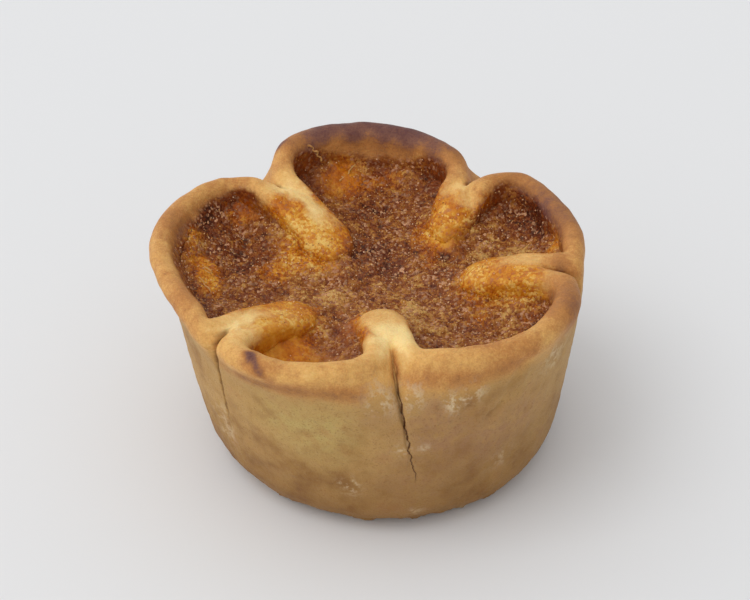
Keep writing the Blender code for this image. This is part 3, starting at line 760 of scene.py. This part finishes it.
def crustMaterial():
    made, tree, shader = startMaterial("bakedPastry")
    where = put(tree, "ShaderNodeTexCoord").outputs["Object"]
    height = put(tree, "ShaderNodeSeparateXYZ", Vector=where).outputs[2]
    clouds = {name: cloud(tree, where, *each) for name, each in pastry["clouds"].items()}
    medium, small, fine = (clouds[name] for name in ("medium", "small", "fine"))

    # bare dough, and the outside wall with its green and rosy parts, its foot darkened with painted shade, and
    # its pores
    # toasting of the dough, with painted light on the back inner face
    toastAndPaintedLight = attribute(tree, "toastAndPaintedLight")
    dough = colourRun(tree, mottled(tree, toastAndPaintedLight, clouds, pastry["dough"]), finish["dough"])
    wall = colourRun(tree, mottled(tree, clouds["broad"], clouds, pastry["wall"]), finish["wall"])
    green = calc(tree, "MULTIPLY", attribute(tree, "green"), spread(tree, medium, *pastry["greenEdge"]))
    wall = blendColours(tree, wall, finish["green"], green)
    rosy = spread(tree, wobble(tree, medium, small, 0.5), *pastry["rosyEdge"])
    wall = blendColours(tree, wall, finish["rosy"], calc(tree, "MULTIPLY", attribute(tree, "rosy"), rosy))
    # painted shade: the wall is darker and warmer towards its foot
    uneven = wobble(tree, height, clouds["broad"], pastry["footShadeDrift"] * mm)
    foot = spread(tree, uneven, *(each * mm for each in pastry["footShadeHeight"]))
    wall = blendColours(tree, wall, finish["wallFootShade"], foot, "MULTIPLY")
    pores = spread(tree, wobble(tree, fine, small, 0.6), *pastry["poreEdge"])
    wall = blendColours(tree, wall, finish["pore"], calc(tree, "MULTIPLY", pores, pastry["poreStrength"]))
    toastedWall = blendColours(tree, wall, dough, spread(tree, toastAndPaintedLight, *pastry["toastEdge"]))
    colour = blendColours(tree, dough, toastedWall, attribute(tree, "wall"))
    specks = spread(tree, wobble(tree, small, medium, 1.0), *pastry["flourEdge"])
    specks = calc(tree, "MULTIPLY", specks, attribute(tree, "flour"))
    specks = calc(tree, "MULTIPLY", specks, pastry["flourStrength"], True)
    colour = blendColours(tree, colour, finish["flour"], specks)

    slit = seamCrack(tree, where, pleats["front"], *cracks["slit"])
    slit = calc(tree, "MULTIPLY", slit, spread(tree, height, *(each * mm for each in cracks["slitFades"])))
    # the slit and the creases are painted dark: painted shade in the gaps of the seams
    colour = blendColours(tree, colour, finish["crackShade"], slit)
    for name in cracks["creased"]:
        crease = seamCrack(tree, where, pleats[name], *cracks["crease"])
        colour = blendColours(tree, colour, finish["crackShade"], calc(tree, "MULTIPLY", crease, cracks["faint"]))

    # sugar baked onto the inside of the sheet
    sugared, grainy = sugarCoat(tree, where)
    coat = spread(tree, mottled(tree, attribute(tree, "coat"), clouds, pastry["coat"]), *pastry["coatEdge"])
    colour = blendColours(tree, colour, sugared, coat)
    tree.links.new(colour, shader.inputs["Base Color"])

    rough = calc(tree, "ADD", pastry["roughness"], calc(tree, "MULTIPLY", fine, pastry["roughDrift"]))
    rough = calc(tree, "SUBTRACT", rough, calc(tree, "MULTIPLY", coat, pastry["coatGloss"]))
    tree.links.new(rough, shader.inputs["Roughness"])
    relief = calc(tree, "MULTIPLY", fine, pastry["fineRelief"])
    relief = calc(tree, "ADD", relief, calc(tree, "MULTIPLY", small, pastry["smallRelief"]))
    relief = calc(tree, "SUBTRACT", relief, calc(tree, "MULTIPLY", slit, pastry["slitRelief"]))
    relief = calc(tree, "ADD", relief, calc(tree, "MULTIPLY", coat, grainy))
    finishShader(tree, shader, relief, pastry)
    return made


def setSockets(shader, sockets):
    # the values that are the same all over
    for name, value in sockets.items():
        shader.inputs[name].default_value = value


def finishShader(tree, shader, relief, pattern):
    height = pattern["bumpHeight"] * mm
    bump = put(tree, "ShaderNodeBump", Strength=pattern["bump"], Distance=height, Height=relief)
    tree.links.new(bump.outputs[0], shader.inputs["Normal"])
    setSockets(shader, pattern["sockets"])


# The filling's gloss and bump.
glaze = {
    "roughness": 0.20, "roughDrift": 0.3, "fine": 0.3, "bump": 0.85, "bumpHeight": 0.3,
    "sockets": {"Subsurface Weight": 0.1, "Subsurface Radius": (1.0, 0.3, 0.08),
                "Subsurface Scale": 1.2 * mm, "Specular IOR Level": 0.30, "Specular Tint": finish["sheen"]},
}


def fillingMaterial():
    made, tree, shader = startMaterial("bubbledSugar")
    where = put(tree, "ShaderNodeTexCoord").outputs["Object"]
    colour, relief = sugarCoat(tree, where)
    tree.links.new(colour, shader.inputs["Base Color"])
    fine = cloud(tree, where, glaze["fine"], 2, 0.8)
    rough = calc(tree, "ADD", glaze["roughness"], calc(tree, "MULTIPLY", fine, glaze["roughDrift"]))
    tree.links.new(rough, shader.inputs["Roughness"])
    finishShader(tree, shader, relief, glaze)
    return made


# Foam that set as small pale curls on the inside of the cup, in mm. Each path is a share of the thickness
# and the places that it runs through. It swells round a middle, by an amount and at a pace.
curls = {
    "thick": 0.26, "proud": 0.02, "lumps": (0.12, 0.7), "swell": (0.6, 0.4, 2.6), "patternSize": 0.9,
    "sockets": {"Roughness": 0.35, "Subsurface Weight": 0.2, "Subsurface Scale": 0.8 * mm},
    "paths": {
        "back pocket": (1.0, (-13.2, 28.5, 36.9), (-12.1, 28.8, 36.3), (-12.6, 28.7, 35.6),
                        (-11.3, 29.1, 35.2), (-11.9, 29.0, 34.4), (-10.9, 29.3, 33.9), (-11.0, 29.2, 33.2)),
        "back shelf": (0.6, (-7.8, 27.0, 30.4), (-7.3, 27.5, 30.6), (-6.2, 28.2, 31.0),
                       (-6.0, 29.2, 31.5), (-5.0, 30.0, 32.0)),
        "left wall": (0.8, (-30.6, -1.2, 30.6), (-29.6, -1.8, 30.4), (-29.8, -3.0, 30.3),
                      (-28.7, -3.3, 29.9), (-28.4, -4.3, 29.6)),
        "left foot": (0.8, (-29.8, 2.2, 30.6), (-28.9, 1.6, 30.3), (-28.6, 0.6, 30.1),
                      (-29.3, 0.0, 30.3), (-29.9, 0.5, 30.6)),
    },
}


def makeCurls(beds):
    lines = bpy.data.curves.new("foamCurls", "CURVE")
    lines.dimensions = "3D"
    lines.bevel_depth, lines.bevel_resolution, lines.use_fill_caps = curls["thick"] * mm, 2, True
    middleWidth, swell, pace = curls["swell"]
    for width, *path in curls["paths"].values():
        line = lines.splines.new("NURBS")
        line.points.add(len(path) - 1)
        for i, (point, place) in enumerate(zip(line.points, path)):
            # each place settles onto the nearer of the two surfaces
            middle = Vector(place) * mm
            found = [bed.closest_point_on_mesh(middle)[1:3] for bed in beds]
            spot, out = min(found, key=lambda each: (each[0] - middle).length)
            point.co = (*(spot + out * curls["proud"] * mm), 1)
            point.radius = width * (middleWidth + swell * math.sin(pace * i))
        line.use_endpoint_u, line.order_u, line.resolution_u = True, 3, 6
    piece = bpy.data.objects.new("foamCurls", lines)
    bpy.context.scene.collection.objects.link(piece)
    selectOnly(piece)
    bpy.ops.object.convert(target="MESH")
    piece = bpy.context.object
    places = points(piece)
    amount, size = curls["lumps"]
    places += normals(piece) * (amount * lumps(places, size, 15))[:, None]
    movePoints(piece, places)
    piece.data.shade_smooth()
    made, tree, shader = startMaterial("setFoam")
    where = put(tree, "ShaderNodeTexCoord").outputs["Object"]
    colour = colourRun(tree, cloud(tree, where, curls["patternSize"]), finish["foam"])
    tree.links.new(colour, shader.inputs["Base Color"])
    setSockets(shader, curls["sockets"])
    piece.data.materials.clear()
    piece.data.materials.append(made)
    return piece


# Loose sugar crystals over the filling and the sugared crust, all copies of one small crystal: how many,
# their half widths and how far they stray in mm, how tall for their width, and their colours.
grains = {
    "onFilling": 3400, "onCrust": 1400, "smallest": 0.08, "largest": 0.18, "flatness": 0.7, "stray": 0.1,
    "seed": 7, "colours": ((0.0, (0.30, 0.10, 0.02)), (0.55, (0.60, 0.29, 0.09)), (1.0, (0.82, 0.54, 0.33))),
    "fillingAbove": 25, "facing": 0.3, "crustAbove": 27, "coatFrom": 0.8,
    "sockets": {"Roughness": 0.16, "Specular IOR Level": 0.4},
}


def makeGrains(sources):
    random = np.random.default_rng(grains["seed"])
    bpy.ops.mesh.primitive_ico_sphere_add(subdivisions=1, radius=1)
    crystal = bpy.context.object
    corners = np.array([vertex.co for vertex in crystal.data.vertices]) * (1, 1, grains["flatness"])
    sides = [tuple(face.vertices) for face in crystal.data.polygons]
    bpy.data.objects.remove(crystal)
    middles = []
    for piece, count, chance in sources:
        faces = piece.data.polygons
        weights = np.array([face.area for face in faces]) * chance(piece)
        chosen = random.choice(len(faces), count, p=weights / weights.sum())
        middles += [np.array(faces[i].center) / mm for i in chosen.tolist()]
    places, links = [], []
    for i, middle in enumerate(middles):
        turned, _ = np.linalg.qr(random.normal(size=(3, 3)))
        size = random.uniform(grains["smallest"], grains["largest"])
        places.append(corners @ turned.T * size + middle + random.uniform(-grains["stray"], grains["stray"], 3))
        # a turn with a mirror in it needs its faces the other way round
        order = 1 if np.linalg.det(turned) > 0 else -1
        links += [tuple(corner + i * len(corners) for corner in face[::order]) for face in sides]
    mesh = bpy.data.meshes.new("sugarGrains")
    mesh.from_pydata((np.vstack(places) * mm).tolist(), [], links)
    piece = bpy.data.objects.new("sugarGrains", mesh)
    bpy.context.scene.collection.objects.link(piece)
    paint(piece, "shade", np.repeat(random.random(len(middles)), len(corners)))
    made, tree, shader = startMaterial("sugarCrystal")
    tree.links.new(colourRun(tree, attribute(tree, "shade"), grains["colours"]), shader.inputs["Base Color"])
    setSockets(shader, grains["sockets"])
    mesh.materials.append(made)
    print("grains:", len(middles))
    return piece


def painted(piece, name):
    # a painted value at the first corner of each face
    values = np.empty(len(piece.data.vertices), np.float32)
    piece.data.attributes[name].data.foreach_get("value", values)
    return values[[face.vertices[0] for face in piece.data.polygons]]


def onTop(piece):
    # the filling's faces that look up
    lowest = grains["fillingAbove"] * mm
    up = [face.normal.z > grains["facing"] and face.center.z > lowest for face in piece.data.polygons]
    return np.array(up) * (1 - painted(piece, "smooth"))


def onCoat(piece):
    # the crust's sugared faces
    high = np.array([face.center.z > grains["crustAbove"] * mm for face in piece.data.polygons])
    return high * (painted(piece, "coat") > grains["coatFrom"]) * (1 - painted(piece, "smooth"))


crustPiece = makeCrust()
crustPiece.data.materials.append(crustMaterial())
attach(crustPiece, "root")
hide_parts("pastry_cup")
print("crust dressed")

fillingPiece = makeFilling()
fillingPiece.data.materials.append(fillingMaterial())
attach(fillingPiece, "root")
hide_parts("sugar_filling")
print("filling dressed")

curlPiece = makeCurls((crustPiece, fillingPiece))
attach(curlPiece, "root")
grainPiece = makeGrains(((fillingPiece, grains["onFilling"], onTop), (crustPiece, grains["onCrust"], onCoat)))
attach(grainPiece, "root")
print("grains strewn")

# A pale floor, soft light from the upper left and a sky that is brighter on the left, in metres and watts.
studio = {
    "floor": (0.78, 0.78, 0.785), "floorSize": 4, "floorRough": 0.7,
    "sky": 0.87, "skySlope": 0.36, "skyTint": (0.98, 0.99, 1.0),
    "key": 20.5, "keyPlace": (-1.5, -0.6, 3.0), "keyAim": (0, 0, 0.02), "keySize": 1.9,
}


def makeStudio():
    bpy.ops.mesh.primitive_plane_add(size=studio["floorSize"])
    floor = bpy.context.object
    floor.name = "paleFloor"
    made, _, shader = startMaterial("paleFloor")
    shader.inputs["Base Color"].default_value = (*studio["floor"], 1)
    shader.inputs["Roughness"].default_value = studio["floorRough"]
    floor.data.materials.append(made)
    bpy.ops.object.light_add(type="AREA", location=studio["keyPlace"])
    key = bpy.context.object
    key.name = "keyLight"
    key.data.size, key.data.energy = studio["keySize"], studio["key"]
    key.rotation_euler = (Vector(studio["keyAim"]) - key.location).to_track_quat("-Z", "Y").to_euler()
    world = bpy.data.worlds.new("softSky")
    world.use_nodes = True
    tree = world.node_tree
    sky = tree.nodes["Background"]
    sky.inputs[0].default_value = (*studio["skyTint"], 1)
    towards = put(tree, "ShaderNodeTexCoord").outputs["Generated"]
    across = put(tree, "ShaderNodeSeparateXYZ", Vector=towards).outputs[0]
    slope = calc(tree, "MULTIPLY", across, studio["skySlope"])
    tree.links.new(calc(tree, "SUBTRACT", studio["sky"], slope), sky.inputs[1])
    bpy.context.scene.world = world
    bpy.context.scene.view_settings.view_transform = "Standard"


makeStudio()
print("studio set")
